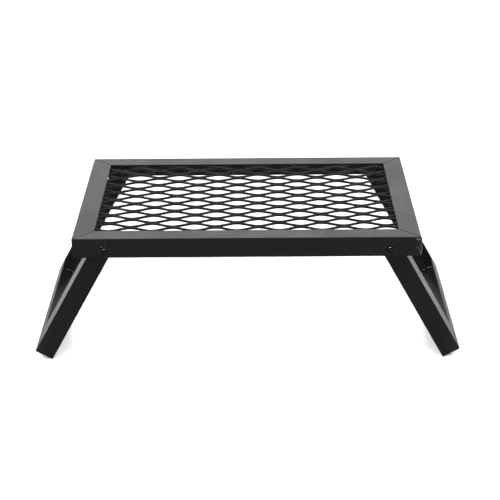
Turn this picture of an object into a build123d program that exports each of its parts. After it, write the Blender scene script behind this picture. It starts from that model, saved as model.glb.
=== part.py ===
from build123d import *
from math import cos, radians, sin
import os

# Folding camp grill: a steel angle frame with a raised expanded mesh, on two folding U-shaped legs.
# Millimetres. +Z is up, +X runs along the long side, and the origin is on the floor below the grill's
# centre. The legs are modelled open, resting against their stops.

# Top frame, mitred from equal angle
frame_length = 610.0
frame_depth = 406.0
rail_flange = 36.0
rail_skirt = 36.0
steel = 2.0
root_radius = 3.0
edge_radius = 1.0
seam_groove = 0.9
ground_radius = 4.0

# Raised expanded mesh under the top flanges
mesh_overlap = 12.0
mesh_height = 4.5
mesh_long_pitch = 76.0
mesh_short_pitch = 37.7
mesh_phase_x = 21.0
mesh_phase_y = -9.0
mesh_strand = 3.2
mesh_bond = 10.0
mesh_selvedge = 4.0

# Folding legs: each is a U of angle, its narrow face across the hinge and its wide flange outwards
splay = 29.0
leg_face = 34.5
leg_flange = 36.0
leg_flange_opening = 4.4
pivot_inset = 54.0
leg_inset = 17.0
fold_gap = 5.0
swing_gap = 3.0
stop_gap = 0.3
flange_lead = 4.0
face_top_flat = 0.5

# Hinge screws
screw_radius = 3.0
screw_fit = 0.05
head_radius = 8.0
head_height = 3.6
recess_span = 9.0
recess_width = 1.6
recess_depth = 1.8
screw_chamfer = 0.5
hinge_gap = 0.3
sleeve_wall = 2.0
washer_radius = 7.0
washer_thickness = 1.5
nut_flats = 10.0
nut_height = 6.0
nut_collar = 1.8
nut_collar_inset = 0.4
screw_tail = 2.0

# Weld beads
bead_radius = 3.0
bead_end_gap = 2.0
tack_radius = 2.5
tack_length = 12.0
front_tacks = 5
front_tack_pitch = 92.0
side_tacks = 3
side_tack_pitch = 112.0
corner_bead_radius = 2.4
corner_bead_pitch = 3.4
corner_bead_sink = 0.9
corner_bead_drop = 0.5

# Places that follow from the sizes above
half_length = frame_length / 2
half_depth = frame_depth / 2
half_face = leg_face / 2
pivot_x = half_length - pivot_inset
pivot_drop = steel + swing_gap + half_face
leg_reach = pivot_x - fold_gap
splay_sin = sin(radians(splay))
splay_cos = cos(radians(splay))
top = pivot_drop + leg_reach * splay_cos + half_face * splay_sin
leg_outer = half_depth - steel - leg_inset
top_extension = (pivot_drop - steel - stop_gap - half_face * splay_sin) / splay_cos
hinge_hole = screw_radius + screw_fit

pivot = Vector(pivot_x, 0, top - pivot_drop)
down_leg = Vector(splay_sin, 0, -splay_cos)
across_leg = Vector(splay_cos, 0, splay_sin)
inwards = Vector(0, 1, 0)
foot_corner = pivot + down_leg * leg_reach - inwards * leg_outer

os.makedirs("parts", exist_ok=True)


def save(piece, name):
    """Label a finished piece and write its STEP file."""
    piece.label = name
    export_step(piece, f"parts/{name}.step")


def mirrored(source, *planes):
    """A copy of a piece, mirrored about each plane in turn."""
    copy = source
    for plane in planes:
        with BuildPart() as reflection:
            mirror(copy, about=plane)
        copy = reflection.part
    return copy


def quarter_bead(plane, radius, length):
    """A weld bead filling the corner between the plane's local x and y axes."""
    with BuildPart() as bead:
        with BuildSketch(plane):
            with BuildLine():
                Line((0, 0), (radius, 0))
                CenterArc((0, 0), radius, 0, 90)
                Line((0, radius), (0, 0))
            make_face()
        extrude(amount=length)
    return bead.part


def seam_cutter(start, end, sideways):
    """A square bar on edge, to cut the shallow groove that shows along a mitred seam."""
    with BuildPart() as cutter:
        with BuildSketch(Plane(origin=start, x_dir=sideways, z_dir=end - start)):
            RegularPolygon(seam_groove, 4)
        extrude(amount=(end - start).length)
    return cutter.part


# ---- Top frame ----

def frame_rail(plane, length):
    """A rail of the top frame: local x points inwards, local y up, and both ends are mitred."""
    along = Vector(plane.z_dir)
    inward = Vector(plane.x_dir)
    start = Vector(plane.origin)
    end = start + along * length
    start_seam = seam_cutter(start, start + (inward + along) * rail_flange, along - inward)
    end_seam = seam_cutter(end, end + (inward - along) * rail_flange, along + inward)
    with BuildPart() as rail:
        with BuildSketch(plane) as section:
            with BuildLine():
                Polyline(
                    (0, 0),
                    (rail_flange, 0),
                    (rail_flange, -steel),
                    (steel, -steel),
                    (steel, -rail_skirt),
                    (0, -rail_skirt),
                    close=True,
                )
            make_face()
            fillet(section.vertices().sort_by_distance((steel, -steel))[0], root_radius)
            fillet(section.vertices().sort_by_distance((0, 0))[0], edge_radius)
        extrude(amount=length)
        split(bisect_by=Plane(origin=start, z_dir=along - inward), keep=Keep.TOP)
        split(bisect_by=Plane(origin=end, z_dir=along + inward), keep=Keep.BOTTOM)
        add([start_seam, end_seam], mode=Mode.SUBTRACT)
    return rail.part


front_edge = Plane(origin=(-half_length, -half_depth, top), x_dir=(0, 1, 0), z_dir=(1, 0, 0))
right_edge = Plane(origin=(half_length, -half_depth, top), x_dir=(-1, 0, 0), z_dir=(0, 1, 0))

front_angle = frame_rail(front_edge, frame_length)

with BuildPart() as front_rail:
    add(front_angle)
    with BuildSketch(Plane.XZ.offset(half_depth)):
        with Locations((-pivot_x, top - pivot_drop), (pivot_x, top - pivot_drop)):
            Circle(hinge_hole)
    extrude(amount=-steel, mode=Mode.SUBTRACT)
right_rail = frame_rail(right_edge, frame_depth)

# The rear left corner is ground round
with BuildPart() as corner_waste:
    with BuildSketch(Plane.XY.offset(top - rail_skirt)):
        with Locations((-half_length, half_depth)):
            Rectangle(2 * ground_radius, 2 * ground_radius)
        with Locations((-half_length + ground_radius, half_depth - ground_radius)):
            Circle(ground_radius, mode=Mode.SUBTRACT)
    extrude(amount=rail_skirt)

with BuildPart() as rear_rail:
    mirror(front_rail.part, about=Plane.XZ)
    add(corner_waste.part, mode=Mode.SUBTRACT)

with BuildPart() as left_rail:
    mirror(right_rail, about=Plane.YZ)
    add(corner_waste.part, mode=Mode.SUBTRACT)

save(front_rail.part, "front_rail")
save(rear_rail.part, "rear_rail")
save(right_rail, "right_rail")
save(left_rail.part, "left_rail")


# ---- Expanded mesh ----

mesh_half_x = half_length - rail_flange + mesh_overlap
mesh_half_y = half_depth - rail_flange + mesh_overlap
mesh_top = top - steel
spare_rows = 2


def hole_centres(shift_x, shift_y):
    """Centres of one of the two interleaved sets of openings that touch the panel."""
    columns = int(mesh_half_x / mesh_long_pitch) + spare_rows
    rows = int(mesh_half_y / mesh_short_pitch) + spare_rows
    return [
        (mesh_phase_x + shift_x + column * mesh_long_pitch, mesh_phase_y + shift_y + row * mesh_short_pitch)
        for column in range(-columns, columns + 1)
        for row in range(-rows, rows + 1)
    ]


with BuildPart() as expanded_mesh:
    with BuildSketch(Plane.XY.offset(mesh_top - mesh_height)) as mesh_plan:
        tip = (mesh_long_pitch - mesh_bond) / 2
        shoulder = mesh_bond / 2
        rise = mesh_short_pitch / 2 - mesh_strand
        with Locations(*hole_centres(0, 0), *hole_centres(mesh_long_pitch / 2, mesh_short_pitch / 2)):
            Polygon(
                (-tip, 0),
                (-shoulder, rise),
                (shoulder, rise),
                (tip, 0),
                (shoulder, -rise),
                (-shoulder, -rise),
                align=None,
            )
        Rectangle(
            2 * (mesh_half_x - mesh_selvedge),
            2 * (mesh_half_y - mesh_selvedge),
            mode=Mode.INTERSECT,
        )
    with BuildSketch(Plane.XY.offset(mesh_top - mesh_height)) as mesh_sheet:
        Rectangle(2 * mesh_half_x, 2 * mesh_half_y)
        add(mesh_plan.sketch, mode=Mode.SUBTRACT)
    extrude(mesh_sheet.sketch, amount=mesh_height, mode=Mode.REPLACE)
save(expanded_mesh.part, "expanded_mesh")


# ---- Welds of the top frame ----

tack_front = Plane(
    origin=(tack_length / 2, -mesh_half_y, mesh_top), x_dir=(0, 0, -1), z_dir=(-1, 0, 0)
)
tack_side = Plane(
    origin=(mesh_half_x, tack_length / 2, mesh_top), x_dir=(0, 0, -1), z_dir=(0, -1, 0)
)

front_tack = quarter_bead(tack_front, tack_radius, tack_length)
rear_tack = mirrored(front_tack, Plane.XZ)
right_tack = quarter_bead(tack_side, tack_radius, tack_length)
left_tack = mirrored(right_tack, Plane.YZ)

with BuildPart() as mesh_tack_welds:
    with GridLocations(front_tack_pitch, 0, front_tacks, 1):
        add([front_tack, rear_tack])
    with GridLocations(0, side_tack_pitch, 1, side_tacks):
        add([right_tack, left_tack])
save(mesh_tack_welds.part, "mesh_tack_welds")

# Beads in the inner corners hold the mitred rails together
inner_corner = Plane(
    origin=(half_length - steel, -half_depth + steel, top - rail_skirt + bead_end_gap),
    x_dir=(0, 1, 0),
    z_dir=(0, 0, 1),
)
corner_bead_length = rail_skirt - steel - root_radius - 2 * bead_end_gap
front_right_bead = quarter_bead(inner_corner, bead_radius, corner_bead_length)
front_left_bead = mirrored(front_right_bead, Plane.YZ)
rear_right_bead = mirrored(front_right_bead, Plane.XZ)
rear_left_bead = mirrored(front_left_bead, Plane.XZ)

with BuildPart() as inner_corner_welds:
    add([front_right_bead, front_left_bead, rear_right_bead, rear_left_bead])
save(inner_corner_welds.part, "inner_corner_welds")

# A bead of overlapping runs down the outside of the front right corner
bead_count = int((rail_skirt - 2 * corner_bead_radius) / corner_bead_pitch) + 1

with BuildPart() as front_right_corner_weld:
    for step in range(bead_count):
        with Locations((
            half_length - corner_bead_sink,
            -half_depth + corner_bead_sink,
            top - corner_bead_drop - corner_bead_radius - step * corner_bead_pitch,
        )):
            Sphere(corner_bead_radius)
    with Locations((0, 0, top - rail_skirt)):
        Box(frame_length, frame_depth, 2 * rail_skirt, mode=Mode.SUBTRACT)
save(front_right_corner_weld.part, "front_right_corner_weld")


# ---- Legs ----

def leg_angle(plane, length):
    """Angle for a leg: local x runs in from the U's rim, and the flange opens a little wide of square."""
    opening = radians(leg_flange_opening)
    toe = (leg_flange * cos(opening), half_face + leg_flange * sin(opening))
    inner_toe = (toe[0] + steel * sin(opening), toe[1] - steel * cos(opening))
    root_run = steel * (1 - sin(opening)) / cos(opening)
    root = (steel, half_face - steel * cos(opening) + root_run * sin(opening))
    with BuildPart() as angle:
        with BuildSketch(plane) as section:
            with BuildLine():
                Polyline(
                    (0, -half_face),
                    (0, half_face),
                    toe,
                    inner_toe,
                    root,
                    (steel, -half_face),
                    close=True,
                )
            make_face()
            fillet(section.vertices().sort_by_distance(root)[0], root_radius)
            fillet(section.vertices().sort_by_distance((0, half_face))[0], edge_radius)
        extrude(amount=length)
    return angle.part


front_mitre = Plane(origin=foot_corner, z_dir=inwards + down_leg)
rear_mitre = Plane(origin=foot_corner + inwards * 2 * leg_outer, z_dir=down_leg - inwards)
leg_start = pivot - down_leg * top_extension - inwards * leg_outer

leg_stock = leg_angle(
    Plane(origin=leg_start, x_dir=inwards, z_dir=down_leg), top_extension + leg_reach
)
bar_stock = leg_angle(Plane(origin=foot_corner, x_dir=-down_leg, z_dir=inwards), 2 * leg_outer)

# The seam that shows on the outside of each foot
seam_start = foot_corner + across_leg * half_face
seam_end = (
    seam_start
    + (inwards - down_leg) * leg_flange * cos(radians(leg_flange_opening))
    + across_leg * leg_flange * sin(radians(leg_flange_opening))
)
front_seam = seam_cutter(seam_start, seam_end, inwards + down_leg)
rear_seam = mirrored(front_seam, Plane.XZ)

with BuildPart() as right_front_leg:
    add(leg_stock)
    split(bisect_by=front_mitre, keep=Keep.BOTTOM)
    add(front_seam, mode=Mode.SUBTRACT)

    # The wide flange stops short of the top so that it clears the mesh
    flange_top = Plane(origin=leg_start + inwards * steel, x_dir=inwards, z_dir=down_leg)
    with BuildSketch(flange_top):
        with Locations((leg_flange, half_face)):
            Rectangle(2 * leg_flange, leg_face)
    extrude(amount=top_extension - flange_lead, mode=Mode.SUBTRACT)

    # The face's inner top corner is rounded to swing below the rail
    inner_top = leg_start - across_leg * half_face
    fillet(
        right_front_leg.edges().filter_by(Axis.Y).sort_by_distance(inner_top)[0],
        top_extension - face_top_flat,
    )

    with BuildSketch(Plane(origin=pivot - inwards * leg_outer, x_dir=(1, 0, 0), z_dir=inwards)):
        Circle(hinge_hole)
    extrude(amount=steel, mode=Mode.SUBTRACT)

with BuildPart() as right_foot_bar:
    add(bar_stock)
    split(bisect_by=front_mitre, keep=Keep.TOP)
    split(bisect_by=rear_mitre, keep=Keep.TOP)
    add([front_seam, rear_seam], mode=Mode.SUBTRACT)

# Beads inside the mitred feet join each leg to its foot bar
inner_foot = foot_corner + (inwards - down_leg) * steel - across_leg * (half_face - bead_end_gap)
foot_bead_length = leg_face - steel - root_radius - 2 * bead_end_gap
front_foot_bead = quarter_bead(
    Plane(origin=inner_foot, x_dir=inwards, z_dir=across_leg), bead_radius, foot_bead_length
)
rear_foot_bead = mirrored(front_foot_bead, Plane.XZ)

with BuildPart() as right_foot_welds:
    add([front_foot_bead, rear_foot_bead])

save(right_front_leg.part, "right_front_leg")
save(mirrored(right_front_leg.part, Plane.XZ), "right_rear_leg")
save(right_foot_bar.part, "right_foot_bar")
save(right_foot_welds.part, "right_foot_welds")
save(mirrored(right_front_leg.part, Plane.YZ), "left_front_leg")
save(mirrored(right_front_leg.part, Plane.YZ, Plane.XZ), "left_rear_leg")
save(mirrored(right_foot_bar.part, Plane.YZ), "left_foot_bar")
save(mirrored(right_foot_welds.part, Plane.YZ), "left_foot_welds")


# ---- Hinges, made at the front right and mirrored to the other corners ----

hinge_face = Plane(origin=(pivot_x, -half_depth, top - pivot_drop), x_dir=(1, 0, 0), z_dir=inwards)
sleeve_start = steel
sleeve_length = leg_inset - hinge_gap
washer_start = steel + leg_inset + steel + hinge_gap
nut_start = washer_start + washer_thickness
screw_length = nut_start + nut_height + screw_tail
dome_radius = (head_radius**2 + head_height**2) / (2 * head_height)

with BuildPart() as hinge_screw:
    with BuildSketch(Plane(origin=hinge_face.origin, x_dir=(1, 0, 0), z_dir=(0, 0, 1))):
        with BuildLine():
            Line((0, 0), (0, -head_height))
            RadiusArc((0, -head_height), (head_radius, 0), dome_radius)
            Line((head_radius, 0), (0, 0))
        make_face()
    revolve(axis=Axis(hinge_face.origin, inwards))
    with BuildSketch(hinge_face):
        Circle(screw_radius)
    extrude(amount=screw_length)
    chamfer(hinge_screw.edges().sort_by(Axis.Y)[-1], screw_chamfer)
    with BuildSketch(hinge_face.offset(-head_height)):
        Rectangle(recess_span, recess_width)
        Rectangle(recess_width, recess_span)
    extrude(amount=recess_depth, mode=Mode.SUBTRACT)

with BuildPart() as spacer_sleeve:
    with BuildSketch(hinge_face.offset(sleeve_start)):
        Circle(hinge_hole + sleeve_wall)
        Circle(hinge_hole, mode=Mode.SUBTRACT)
    extrude(amount=sleeve_length)

with BuildPart() as hinge_washer:
    with BuildSketch(hinge_face.offset(washer_start)):
        Circle(washer_radius)
        Circle(hinge_hole, mode=Mode.SUBTRACT)
    extrude(amount=washer_thickness)

with BuildPart() as lock_nut:
    with BuildSketch(hinge_face.offset(nut_start)):
        RegularPolygon(nut_flats / 2, 6, major_radius=False)
        Circle(hinge_hole, mode=Mode.SUBTRACT)
    extrude(amount=nut_height - nut_collar)
    with BuildSketch(hinge_face.offset(nut_start + nut_height - nut_collar)):
        Circle(nut_flats / 2 - nut_collar_inset)
        Circle(hinge_hole, mode=Mode.SUBTRACT)
    extrude(amount=nut_collar)

corners = {
    "front_right": (),
    "front_left": (Plane.YZ,),
    "rear_right": (Plane.XZ,),
    "rear_left": (Plane.YZ, Plane.XZ),
}
hinge_pieces = {
    "hinge_screw": hinge_screw.part,
    "spacer_sleeve": spacer_sleeve.part,
    "hinge_washer": hinge_washer.part,
    "lock_nut": lock_nut.part,
}
for corner, planes in corners.items():
    for name, piece in hinge_pieces.items():
        save(mirrored(piece, *planes), f"{corner}_{name}")
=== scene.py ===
from math import cos, pi, radians, sin
from random import Random

import bmesh
import bpy
from mathutils import Matrix, Vector


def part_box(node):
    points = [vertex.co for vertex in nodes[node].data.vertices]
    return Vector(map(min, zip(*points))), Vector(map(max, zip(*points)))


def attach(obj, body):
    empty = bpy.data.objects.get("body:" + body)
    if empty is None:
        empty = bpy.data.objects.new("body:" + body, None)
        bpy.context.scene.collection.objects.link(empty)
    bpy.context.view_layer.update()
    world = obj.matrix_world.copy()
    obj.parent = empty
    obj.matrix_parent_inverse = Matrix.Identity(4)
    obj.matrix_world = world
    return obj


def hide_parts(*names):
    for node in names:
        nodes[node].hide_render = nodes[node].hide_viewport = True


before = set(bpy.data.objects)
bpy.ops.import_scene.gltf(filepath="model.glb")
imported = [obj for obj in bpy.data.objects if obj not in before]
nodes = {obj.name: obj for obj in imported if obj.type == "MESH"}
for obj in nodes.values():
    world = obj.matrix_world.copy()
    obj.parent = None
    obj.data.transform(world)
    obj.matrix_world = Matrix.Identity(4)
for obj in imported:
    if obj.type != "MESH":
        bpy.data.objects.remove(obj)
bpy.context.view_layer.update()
scene = bpy.context.scene
mm = 0.001

# Camera, looking down at the long front side
cameraView = {
    "lens": 103.33,
    "sensor": 36.0,
    "clipStart": 0.05,
    "place": (0.01776, -2.49798, 1.23192),
    "down": 23.731,
    "turn": 0.288,
    "roll": -0.496,
}


def makeCamera(view):
    data = bpy.data.cameras.new("camera")
    data.lens = view["lens"]
    data.sensor_width = view["sensor"]
    data.clip_start = view["clipStart"]
    camera = bpy.data.objects.new("camera", data)
    scene.collection.objects.link(camera)
    camera.matrix_world = (
        Matrix.Translation(view["place"])
        @ Matrix.Rotation(radians(view["turn"]), 4, "Z")
        @ Matrix.Rotation(radians(90 - view["down"]), 4, "X")
        @ Matrix.Rotation(radians(view["roll"]), 4, "Z")
    )
    scene.camera = camera


makeCamera(cameraView)
print("camera placed")


def newNode(tree, kind, inputs=None, **settings):
    node = tree.nodes.new(kind)
    for setting, value in settings.items():
        setattr(node, setting, value)
    for socket, value in (inputs or {}).items():
        if isinstance(value, bpy.types.NodeSocket):
            tree.links.new(value, node.inputs[socket])
        else:
            node.inputs[socket].default_value = value
    return node


def newGroup(name, inputs, outputs):
    group = bpy.data.node_groups.new(name, "ShaderNodeTree")
    for label, kind, value in inputs:
        socket = group.interface.new_socket(label, in_out="INPUT", socket_type=kind)
        if value is not None:
            socket.default_value = value
    for label, kind in outputs:
        group.interface.new_socket(label, in_out="OUTPUT", socket_type=kind)
    return group, group.nodes.new("NodeGroupInput"), group.nodes.new("NodeGroupOutput")


def math(tree, operation, first, second=0.0, clamp=False):
    node = newNode(tree, "ShaderNodeMath", operation=operation, use_clamp=clamp)
    for socket, value in zip(node.inputs, (first, second)):
        if isinstance(value, bpy.types.NodeSocket):
            tree.links.new(value, socket)
        else:
            socket.default_value = value
    return node.outputs[0]


def mixColour(tree, factor, first, second):
    mix = newNode(tree, "ShaderNodeMix", {0: factor, 6: first, 7: second}, data_type="RGBA")
    return mix.outputs[2]


def mixNumber(tree, factor, first, second):
    return newNode(tree, "ShaderNodeMix", {0: factor, 2: first, 3: second}).outputs[0]


def mapRange(tree, value, source, target=(0, 1)):
    inputs = {"Value": value, "From Min": source[0], "From Max": source[1]}
    inputs |= {"To Min": target[0], "To Max": target[1]}
    return newNode(tree, "ShaderNodeMapRange", inputs).outputs["Result"]


def makePaintSkin():
    # fine orange peel of a sprayed coat, with slow unevenness in its gloss
    tree, given, result = newGroup(
        "paintSkin",
        [
            ("Vector", "NodeSocketVector", None),
            ("Peel Size", "NodeSocketFloat", 2.0),
            ("Peel Depth", "NodeSocketFloat", 0.02),
            ("Cloud Size", "NodeSocketFloat", 40.0),
        ],
        [("Height", "NodeSocketFloat"), ("Cloud", "NodeSocketFloat")],
    )
    peelScale = math(tree, "DIVIDE", 1000.0, given.outputs["Peel Size"])
    cloudScale = math(tree, "DIVIDE", 1000.0, given.outputs["Cloud Size"])
    peel = newNode(
        tree, "ShaderNodeTexNoise",
        inputs={"Vector": given.outputs["Vector"], "Scale": peelScale, "Detail": 3.0},
    )
    cloud = newNode(
        tree, "ShaderNodeTexNoise",
        inputs={"Vector": given.outputs["Vector"], "Scale": cloudScale, "Detail": 4.0},
    )
    height = math(tree, "MULTIPLY", peel.outputs["Fac"], given.outputs["Peel Depth"])
    tree.links.new(height, result.inputs["Height"])
    tree.links.new(cloud.outputs["Fac"], result.inputs["Cloud"])
    return tree


def makeEdgeWearAndHighlight(contrast=6.0, breakRange=(0.35, 0.65)):
    # rounds the look of sharp edges, and says where they are, with breaks along them; the finishes tint
    # these edges as worn paint, and on the welds as painted highlight too
    tree, given, result = newGroup(
        "edgeWearAndHighlight",
        [
            ("Vector", "NodeSocketVector", None),
            ("Radius", "NodeSocketFloat", 0.0008),
            ("Amount", "NodeSocketFloat", 1.0),
            ("Break Size", "NodeSocketFloat", 12.0),
        ],
        [("Wear", "NodeSocketFloat"), ("Normal", "NodeSocketVector")],
    )
    rounded = newNode(tree, "ShaderNodeBevel", samples=4, inputs={"Radius": given.outputs["Radius"]})
    geometry = newNode(tree, "ShaderNodeNewGeometry")
    agreement = newNode(tree, "ShaderNodeVectorMath", operation="DOT_PRODUCT")
    tree.links.new(rounded.outputs["Normal"], agreement.inputs[0])
    tree.links.new(geometry.outputs["Normal"], agreement.inputs[1])
    edge = math(tree, "SUBTRACT", 1.0, agreement.outputs["Value"])
    edge = math(tree, "MULTIPLY", edge, contrast, clamp=True)
    breakScale = math(tree, "DIVIDE", 1000.0, given.outputs["Break Size"])
    breaks = newNode(
        tree, "ShaderNodeTexNoise",
        inputs={"Vector": given.outputs["Vector"], "Scale": breakScale, "Detail": 5.0},
    )
    wear = math(tree, "MULTIPLY", edge, mapRange(tree, breaks.outputs["Fac"], breakRange))
    wear = math(tree, "MULTIPLY", wear, given.outputs["Amount"], clamp=True)
    tree.links.new(wear, result.inputs["Wear"])
    tree.links.new(rounded.outputs["Normal"], result.inputs["Normal"])
    return tree


def makeDustVeil():
    # a thin film that settles on upward faces
    tree, given, result = newGroup(
        "dustVeil",
        [
            ("Vector", "NodeSocketVector", None),
            ("Amount", "NodeSocketFloat", 0.1),
            ("Speck Size", "NodeSocketFloat", 1.5),
        ],
        [("Dust", "NodeSocketFloat")],
    )
    geometry = newNode(tree, "ShaderNodeNewGeometry")
    facing = newNode(tree, "ShaderNodeSeparateXYZ", inputs={"Vector": geometry.outputs["Normal"]})
    upward = mapRange(tree, facing.outputs["Z"], (0.5, 1.0))
    speckScale = math(tree, "DIVIDE", 1000.0, given.outputs["Speck Size"])
    specks = newNode(
        tree, "ShaderNodeTexNoise",
        inputs={"Vector": given.outputs["Vector"], "Scale": speckScale, "Detail": 6.0, "Roughness": 0.7},
    )
    film = math(tree, "MULTIPLY", upward, specks.outputs["Fac"])
    film = math(tree, "MULTIPLY", film, given.outputs["Amount"], clamp=True)
    tree.links.new(film, result.inputs["Dust"])
    return tree


# effects that the finishes share
paintSkin = makePaintSkin()
edgeWearAndHighlight = makeEdgeWearAndHighlight()
dustVeil = makeDustVeil()
print("shared effects made")


# one finish for each material slot, with peel and cloud sizes in millimetres
satinPaint = {
    "colour": (0.0065, 0.0064, 0.0068), "wornAndHighlight": (0.030, 0.029, 0.029), "dusty": (0.05, 0.05, 0.05),
    "roughness": (0.31, 0.39), "specular": 0.5,
    "peelSize": 1.6, "peelDepth": 0.012, "cloudSize": 55.0,
    "edgeRadius": 0.6 * mm, "wear": 0.5, "dust": 0.10,
}
meshPaint = {
    "colour": (0.0035, 0.0033, 0.0035), "wornAndHighlight": (0.022, 0.020, 0.018), "dusty": (0.05, 0.05, 0.05),
    "roughness": (0.26, 0.38), "specular": 0.4,
    "peelSize": 1.1, "peelDepth": 0.05, "cloudSize": 18.0,
    "edgeRadius": 0.35 * mm, "wear": 0.35, "dust": 0.06,
}
# painted weld: the light brownish-grey worn colour on its ripple edges is partly worn paint and partly
# painted highlight
weldPaint = {
    "colour": (0.0075, 0.0070, 0.0068), "wornAndHighlight": (0.10, 0.085, 0.07), "dusty": (0.06, 0.06, 0.06),
    "roughness": (0.16, 0.30), "specular": 0.9,
    "peelSize": 0.8, "peelDepth": 0.08, "cloudSize": 9.0,
    "edgeRadius": 0.4 * mm, "wear": 0.8, "dust": 0.08,
}
screwFinish = {
    "colour": (0.002, 0.002, 0.0022), "wornAndHighlight": (0.04, 0.04, 0.045), "dusty": (0.05, 0.05, 0.05),
    "roughness": (0.12, 0.18), "specular": 0.6,
    "peelSize": 0.5, "peelDepth": 0.01, "cloudSize": 6.0,
    "edgeRadius": 0.25 * mm, "wear": 0.6, "dust": 0.05,
}
hardwareFinish = {
    "colour": (0.016, 0.016, 0.017), "wornAndHighlight": (0.16, 0.16, 0.16), "dusty": (0.06, 0.06, 0.06),
    "roughness": (0.27, 0.41), "specular": 0.5,
    "peelSize": 0.6, "peelDepth": 0.02, "cloudSize": 8.0,
    "edgeRadius": 0.25 * mm, "wear": 0.7, "dust": 0.10,
}


def makeFinish(name, look):
    material = bpy.data.materials.new(name)
    material.use_nodes = True
    tree = material.node_tree
    shader = tree.nodes["Principled BSDF"]
    shader.inputs["Specular IOR Level"].default_value = look["specular"]
    place = newNode(tree, "ShaderNodeTexCoord").outputs["Object"]

    skin = newNode(tree, "ShaderNodeGroup", node_tree=paintSkin)
    wear = newNode(tree, "ShaderNodeGroup", node_tree=edgeWearAndHighlight)
    dust = newNode(tree, "ShaderNodeGroup", node_tree=dustVeil)
    for effect in (skin, wear, dust):
        tree.links.new(place, effect.inputs["Vector"])
    skin.inputs["Peel Size"].default_value = look["peelSize"]
    skin.inputs["Peel Depth"].default_value = look["peelDepth"]
    skin.inputs["Cloud Size"].default_value = look["cloudSize"]
    wear.inputs["Radius"].default_value = look["edgeRadius"]
    wear.inputs["Amount"].default_value = look["wear"]
    dust.inputs["Amount"].default_value = look["dust"]

    # edges take the worn colour: worn paint, and on the welds painted highlight as well
    wornAndHighlightColour = mixColour(tree, wear.outputs["Wear"], (*look["colour"], 1), (*look["wornAndHighlight"], 1))
    dustyColour = mixColour(tree, dust.outputs["Dust"], wornAndHighlightColour, (*look["dusty"], 1))
    tree.links.new(dustyColour, shader.inputs["Base Color"])

    rough = mapRange(tree, skin.outputs["Cloud"], (0.3, 0.7), look["roughness"])
    dustyRoughness = math(tree, "ADD", rough, dust.outputs["Dust"], clamp=True)
    tree.links.new(dustyRoughness, shader.inputs["Roughness"])

    bump = newNode(
        tree, "ShaderNodeBump",
        inputs={
            "Strength": 1.0,
            "Distance": mm,
            "Height": skin.outputs["Height"],
            "Normal": wear.outputs["Normal"],
        },
    )
    tree.links.new(bump.outputs["Normal"], shader.inputs["Normal"])
    return material


finishes = {
    "satin_black_paint": makeFinish("satinBlackPaint", satinPaint),
    "mesh_black_paint": makeFinish("meshBlackPaint", meshPaint),
    "painted_weld": makeFinish("paintedWeld", weldPaint),
    "black_screw": makeFinish("blackScrew", screwFinish),
    "black_hardware": makeFinish("blackHardware", hardwareFinish),
}


def finishFor(nodeName):
    if nodeName.endswith("screw"):
        return finishes["black_screw"]
    if nodeName.endswith(("sleeve", "washer", "nut")):
        return finishes["black_hardware"]
    if nodeName.endswith(("weld", "welds")):
        return finishes["painted_weld"]
    if nodeName == "expanded_mesh":
        return finishes["mesh_black_paint"]
    return finishes["satin_black_paint"]


for nodeName, node in nodes.items():
    node.data.materials.clear()
    node.data.materials.append(finishFor(nodeName))
print("finishes made")


def linkPiece(name, mesh, slot, body, *replaced):
    bmesh.ops.recalc_face_normals(mesh, faces=mesh.faces)
    data = bpy.data.meshes.new(name)
    mesh.to_mesh(data)
    mesh.free()
    piece = bpy.data.objects.new(name, data)
    scene.collection.objects.link(piece)
    data.materials.append(finishes[slot])
    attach(piece, body)
    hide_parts(*replaced)
    return piece


def shadeSmooth(piece, angle):
    for face in piece.data.polygons:
        face.use_smooth = True
    piece.data.set_sharp_from_angle(angle=radians(angle))


# raised expanded mesh, in rows of waved bars
meshPanel = {
    "longPitch": 76 * mm,
    "shortPitch": 37.7 * mm,
    "phase": (21 * mm, -9 * mm),
    "bond": 5 * mm,
    "strandWidth": 3.65 * mm,
    "strandThickness": 3.6 * mm,
    "bondOverlap": 0.4 * mm,
    "tilt": 15,
    "roundness": 0.5,
    "cornerRadius": 0.35 * mm,
    "cutsPerPitch": 18,
    "border": 4 * mm,
    "topGap": 0.05 * mm,
    "sharpAngle": 40,
}


def strandWave(x, panel):
    # 1 at one row of bonds and -1 at the next, flat along each bond and curving between them
    half = panel["longPitch"] / 2
    along = abs((x - panel["phase"][0]) / half % 2)
    along = min(along, 2 - along)
    flat = panel["bond"] / 2 / half
    run = min(max((along - flat) / (1 - 2 * flat), 0), 1)
    curved = cos(pi * run)
    straight = 1 - 2 * run
    return panel["roundness"] * curved + (1 - panel["roundness"]) * straight


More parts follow.
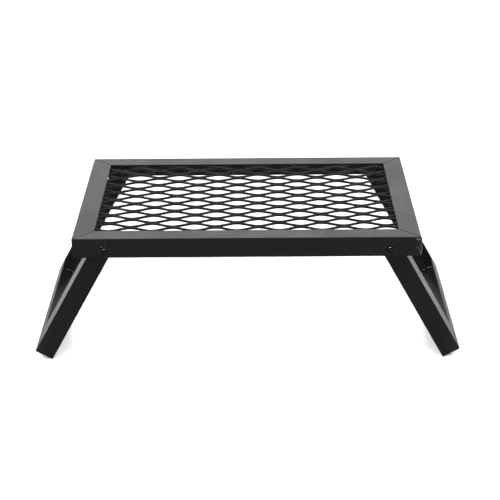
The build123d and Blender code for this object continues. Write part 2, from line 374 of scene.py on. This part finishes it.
def makeRaisedMesh(panel):
    low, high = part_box("expanded_mesh")
    width = panel["strandWidth"]
    thickness = panel["strandThickness"]
    tilt = radians(panel["tilt"])
    rowGap = panel["shortPitch"] / 2
    swing = (rowGap - width * cos(tilt) + panel["bondOverlap"]) / 2
    lift = width * sin(tilt) / 2
    reach = thickness / 2 * cos(tilt) + width / 2 * sin(tilt) + lift
    middle = high.z - panel["topGap"] - reach
    mesh = bmesh.new()

    # one straight bar, rounded along its edges and cut into short lengths
    bmesh.ops.create_cube(mesh, size=1)
    bmesh.ops.scale(mesh, vec=(high.x - low.x, width, thickness), verts=mesh.verts)
    longEdges = [edge for edge in mesh.edges if abs(edge.verts[0].co.x - edge.verts[1].co.x) > width]
    bmesh.ops.bevel(
        mesh, geom=longEdges, offset=panel["cornerRadius"], offset_type="OFFSET", affect="EDGES",
        segments=1, profile=0.5, material=-1,
    )
    longEdges = [edge for edge in mesh.edges if abs(edge.verts[0].co.x - edge.verts[1].co.x) > width]
    cuts = round((high.x - low.x) / panel["longPitch"] * panel["cutsPerPitch"])
    bmesh.ops.subdivide_edges(mesh, edges=longEdges, cuts=cuts)
    bmesh.ops.rotate(mesh, cent=(0, 0, 0), matrix=Matrix.Rotation(tilt, 3, "X"), verts=mesh.verts)
    bar = mesh.copy()
    mesh.clear()

    # the bar is waved and repeated, each row the mirror of the last
    firstRow = int((low.y - panel["phase"][1]) / rowGap) - 1
    lastRow = int((high.y - panel["phase"][1]) / rowGap) + 1
    barData = bpy.data.meshes.new("bar")
    bar.to_mesh(barData)
    bar.free()
    for row in range(firstRow, lastRow + 1):
        before = len(mesh.verts)
        mesh.from_mesh(barData)
        mesh.verts.ensure_lookup_table()
        side = 1 if row % 2 == 0 else -1
        rowPlace = panel["phase"][1] + rowGap * (row + 0.5)
        for vert in mesh.verts[before:]:
            wave = side * strandWave(vert.co.x, panel)
            vert.co += Vector((0, rowPlace + swing * wave, middle - lift * wave))
    bpy.data.meshes.remove(barData)

    for edgePlace, outward in ((low.y, -1), (high.y, 1)):
        bmesh.ops.bisect_plane(
            mesh, geom=[*mesh.verts, *mesh.edges, *mesh.faces], plane_co=(0, edgePlace - outward * mm, 0),
            plane_no=(0, outward, 0), clear_outer=True,
        )
    openEdges = [edge for edge in mesh.edges if edge.is_boundary]
    bmesh.ops.holes_fill(mesh, edges=openEdges)

    # a flat border, welded round the cut ends
    corner = Vector(((high.x - low.x) / 2, (high.y - low.y) / 2, 1))
    made = bmesh.ops.create_grid(mesh, x_segments=1, y_segments=1, size=1)
    bmesh.ops.scale(mesh, vec=corner, verts=made["verts"])
    bmesh.ops.translate(mesh, vec=(0, 0, high.z - panel["topGap"]), verts=made["verts"])
    sheet = made["verts"][0].link_faces[0]
    ring = bmesh.ops.inset_region(mesh, faces=[sheet], thickness=panel["border"], use_even_offset=True)
    bmesh.ops.delete(mesh, geom=[sheet], context="FACES")
    drop = bmesh.ops.extrude_face_region(mesh, geom=ring["faces"])
    lowered = [item for item in drop["geom"] if isinstance(item, bmesh.types.BMVert)]
    bmesh.ops.translate(mesh, vec=(0, 0, -2 * reach), verts=lowered)

    piece = linkPiece("raisedMesh", mesh, "mesh_black_paint", "grill_top", "expanded_mesh")
    shadeSmooth(piece, panel["sharpAngle"])
    return piece


raisedMesh = makeRaisedMesh(meshPanel)
print("raised mesh made", len(raisedMesh.data.polygons), "faces")


# weld beads
cornerBead = {
    "ripple": 3.0 * mm, "radius": 3.2 * mm, "voxel": 0.38 * mm, "jitter": 0.30,
    "sink": 1.4 * mm, "footGap": 2.6 * mm, "headGap": 2.4 * mm, "besideCorner": (-4.6 * mm, 0.3 * mm, 0),
}
filletBead = {
    "ripple": 1.9 * mm, "radius": 3.2 * mm, "voxel": 0.42 * mm, "jitter": 0.12,
    "endGap": 2 * mm,
}
tackBead = {
    "ripple": 2.2 * mm, "radius": 2.5 * mm, "voxel": 0.45 * mm, "jitter": 0.12,
    "halfLength": 4.5 * mm, "drop": 2.6 * mm,
    "longSidePlaces": (-0.184, -0.092, 0, 0.092, 0.184), "shortSidePlaces": (-0.112, 0, 0.112),
}
beadStand = 1.6 * mm  # how far a bead's middle stands out of the inner corner that it fills
poolOverlap = 1.1  # half length of a pool of weld metal, in ripples
endTaper = 0.8  # size of a bead's first and last pool
settleSteps = 2


def addRipples(mesh, start, end, look, draws):
    # a run of overlapping pools of weld metal, none quite like the next
    run = end - start
    count = max(2, round(run.length / look["ripple"]))
    facing = run.to_track_quat("Z", "Y").to_matrix().to_4x4()
    for step in range(count + 1):
        size = look["radius"] * (1 + draws.uniform(-look["jitter"], look["jitter"]))
        shift = Vector([draws.uniform(-1, 1) for axis in range(3)]) * look["radius"] * look["jitter"] / 2
        tapered = size * (endTaper if step in (0, count) else 1)
        shape = Matrix.Diagonal((tapered, tapered, look["ripple"] * poolOverlap, 1))
        place = Matrix.Translation(start + run * step / count + shift)
        bmesh.ops.create_icosphere(mesh, subdivisions=2, radius=1, matrix=place @ facing @ shape)


def makeBead(name, runs, look, seed, body, replaced):
    mesh = bmesh.new()
    draws = Random(seed)
    for start, end in runs:
        addRipples(mesh, start, end, look, draws)
    piece = linkPiece(name, mesh, "painted_weld", body, replaced)
    remesh = piece.modifiers.new("pool", "REMESH")
    remesh.mode = "VOXEL"
    remesh.voxel_size = look["voxel"]
    smooth = piece.modifiers.new("settle", "SMOOTH")
    smooth.iterations = settleSteps
    bakeModifiers(piece)
    return piece


def bakeModifiers(piece):
    settled = piece.evaluated_get(bpy.context.evaluated_depsgraph_get())
    rough = piece.data
    piece.data = bpy.data.meshes.new_from_object(settled)
    piece.modifiers.clear()
    bpy.data.meshes.remove(rough)
    for face in piece.data.polygons:
        face.use_smooth = True


def mirroredRuns(runs, flips):
    # the same runs at every mirrored place
    return [
        (Vector((start.x * flipX, start.y * flipY, start.z)), Vector((end.x * flipX, end.y * flipY, end.z)))
        for flipX, flipY in flips
        for start, end in runs
    ]


def makeFrameWelds():
    frameLow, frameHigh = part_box("right_rail")
    weldLow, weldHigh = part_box("front_right_corner_weld")
    corner = Vector((frameHigh.x, frameLow.y, 0))
    sink = Vector((-cornerBead["sink"], cornerBead["sink"], 0))
    cornerRun = (
        corner + sink + Vector((0, 0, weldLow.z + cornerBead["footGap"])),
        corner + sink + Vector((0, 0, weldHigh.z - cornerBead["headGap"])),
    )
    secondRun = tuple(point + Vector(cornerBead["besideCorner"]) for point in cornerRun)
    makeBead(
        "cornerWeldBead", [cornerRun, secondRun], cornerBead, 3, "grill_top",
        "front_right_corner_weld",
    )

    low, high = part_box("inner_corner_welds")
    inner = Vector((high.x - beadStand, low.y + beadStand, 0))
    endGap = filletBead["endGap"]
    innerRun = (inner + Vector((0, 0, low.z + endGap)), inner + Vector((0, 0, high.z - endGap)))
    everyCorner = [(1, 1), (-1, 1), (1, -1), (-1, -1)]
    makeBead(
        "innerCornerBeads", mirroredRuns([innerRun], everyCorner), filletBead, 5, "grill_top",
        "inner_corner_welds",
    )

    low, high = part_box("expanded_mesh")
    half = tackBead["halfLength"]
    tackRuns = [
        (Vector((place - half, low.y, high.z)), Vector((place + half, low.y, high.z)))
        for place in tackBead["longSidePlaces"]
    ]
    sideRuns = [
        (Vector((high.x, place - half, high.z)), Vector((high.x, place + half, high.z)))
        for place in tackBead["shortSidePlaces"]
    ]
    runs = mirroredRuns(tackRuns, [(1, 1), (1, -1)]) + mirroredRuns(sideRuns, [(1, 1), (-1, 1)])
    lowered = Vector((0, 0, -tackBead["drop"]))
    runs = [(start + lowered, end + lowered) for start, end in runs]
    makeBead("tackBeads", runs, tackBead, 7, "grill_top", "mesh_tack_welds")


def makeFootWelds(legSplay, beadReach):
    # each bead climbs the inside of the mitred corner between a leg and its foot bar
    low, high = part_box("right_foot_welds")
    across = Vector((cos(legSplay), 0, sin(legSplay)))
    upLeg = Vector((-sin(legSplay), 0, cos(legSplay)))
    stand = (upLeg + Vector((0, 1, 0))) * beadStand
    endGap = filletBead["endGap"]
    start = Vector((low.x + beadReach * sin(legSplay), low.y, low.z)) + stand + across * endGap
    end = Vector((high.x, low.y, high.z - beadReach * cos(legSplay))) + stand - across * endGap
    for side, flip, seed in (("right", 1, 11), ("left", -1, 13)):
        runs = mirroredRuns([(start, end)], [(flip, 1), (flip, -1)])
        makeBead(side + "FootBeads", runs, filletBead, seed, side + "_leg", side + "_foot_welds")


makeFrameWelds()
makeFootWelds(legSplay=radians(29), beadReach=3 * mm)
print("weld beads made")


# floor and light
studio = {
    "floorSize": 7.0,
    "floorColour": 0.94,
    "floorRoughness": 0.9,
    "floorSpecular": 0.1,
    # floor tones seen away from the camera: painted shade below and in front of the grill, bright beyond it
    "floorShadeTones": (0.085, 0.76),
    "dimAcross": (0.36, 0.50),
    "dimAhead": (-0.36, -0.20),
    "dimBehind": (0.05, 0.35),
    "sky": (0.04, 2.95),
    "bandFoot": (0.26, 0.38),
    "bandTop": (0.52, 0.68),
    "bandBehind": (0.15, 0.65),
    "backdrop": 1.0,
}
# the paint shows only the lamps that are mirrored
softboxes = {
    "frontLeftSoftbox": {
        "place": (-1.1, -2.6, 1.35), "aim": (0, 0, 0.2),
        "size": (0.12, 0.12), "watts": 26.0, "mirrored": True,
    },
    "frontRightSoftbox": {
        "place": (1.1, -2.6, 1.35), "aim": (0, 0, 0.2),
        "size": (0.12, 0.12), "watts": 26.0, "mirrored": True,
    },
    "leftSoftbox": {
        "place": (-2.1, -0.9, 2.2), "aim": (0, 0, 0.1),
        "size": (0.5, 0.5), "watts": 40.0, "mirrored": True,
    },
    "rightSoftbox": {
        "place": (2.1, -0.9, 2.2), "aim": (0, 0, 0.1),
        "size": (0.5, 0.5), "watts": 40.0, "mirrored": True,
    },
    "ceilingSoftbox": {
        "place": (0, 0, 4.0), "aim": (0, 0, 0),
        "size": (14.0, 14.0), "watts": 700.0, "mirrored": False,
    },
}


def makeFloor(look):
    mesh = bmesh.new()
    bmesh.ops.create_grid(mesh, x_segments=1, y_segments=1, size=look["floorSize"] / 2)
    data = bpy.data.meshes.new("floor")
    mesh.to_mesh(data)
    mesh.free()
    floor = bpy.data.objects.new("floor", data)
    scene.collection.objects.link(floor)
    material = bpy.data.materials.new("paleFloor")
    material.use_nodes = True
    tree = material.node_tree
    shader = tree.nodes["Principled BSDF"]
    shader.inputs["Roughness"].default_value = look["floorRoughness"]
    shader.inputs["Specular IOR Level"].default_value = look["floorSpecular"]
    # painted shade: the paint mirrors, and is lit by, a floor that is dark below and in front of the grill
    # and bright beyond it, though the camera sees the floor evenly pale
    place = newNode(tree, "ShaderNodeTexCoord").outputs["Object"]
    split = newNode(tree, "ShaderNodeSeparateXYZ", inputs={"Vector": place})
    across = math(tree, "ABSOLUTE", split.outputs["X"])
    beside = mapRange(tree, across, look["dimAcross"])
    beside = math(tree, "MULTIPLY", beside, mapRange(tree, split.outputs["Y"], look["dimAhead"]))
    behind = mapRange(tree, split.outputs["Y"], look["dimBehind"])
    beyond = math(tree, "MAXIMUM", beside, behind)
    paintedFloorShade = mapRange(tree, beyond, (0, 1), look["floorShadeTones"])
    seen = newNode(tree, "ShaderNodeLightPath").outputs["Is Camera Ray"]
    tone = mixNumber(tree, seen, paintedFloorShade, look["floorColour"])
    tree.links.new(tone, shader.inputs["Base Color"])
    data.materials.append(material)


def makeSky(look):
    world = bpy.data.worlds.new("studio")
    scene.world = world
    world.use_nodes = True
    tree = world.node_tree
    # the paint mirrors a low bright band behind the grill, and a dark sky elsewhere
    direction = newNode(tree, "ShaderNodeTexCoord").outputs["Generated"]
    heading = newNode(tree, "ShaderNodeSeparateXYZ", inputs={"Vector": direction})
    risen = mapRange(tree, heading.outputs["Z"], look["bandFoot"])
    faded = mapRange(tree, heading.outputs["Z"], look["bandTop"], (1, 0))
    behind = mapRange(tree, heading.outputs["Y"], look["bandBehind"])
    band = math(tree, "MULTIPLY", math(tree, "MULTIPLY", risen, faded), behind)
    glow = mapRange(tree, band, (0, 1), look["sky"])
    seen = newNode(tree, "ShaderNodeLightPath").outputs["Is Camera Ray"]
    strength = mixNumber(tree, seen, glow, look["backdrop"])
    background = tree.nodes["Background"]
    background.inputs["Color"].default_value = (1, 1, 1, 1)
    tree.links.new(strength, background.inputs["Strength"])


def makeSoftbox(name, box):
    data = bpy.data.lights.new(name, "AREA")
    data.shape = "RECTANGLE"
    data.size, data.size_y = box["size"]
    data.energy = box["watts"]
    light = bpy.data.objects.new(name, data)
    scene.collection.objects.link(light)
    towards = Vector(box["aim"]) - Vector(box["place"])
    facing = towards.to_track_quat("-Z", "Y").to_matrix().to_4x4()
    light.matrix_world = Matrix.Translation(box["place"]) @ facing
    light.visible_camera = False
    light.visible_glossy = box["mirrored"]


makeFloor(studio)
makeSky(studio)
for softboxName, softbox in softboxes.items():
    makeSoftbox(softboxName, softbox)
scene.view_settings.view_transform = "Standard"
print("floor and light made")
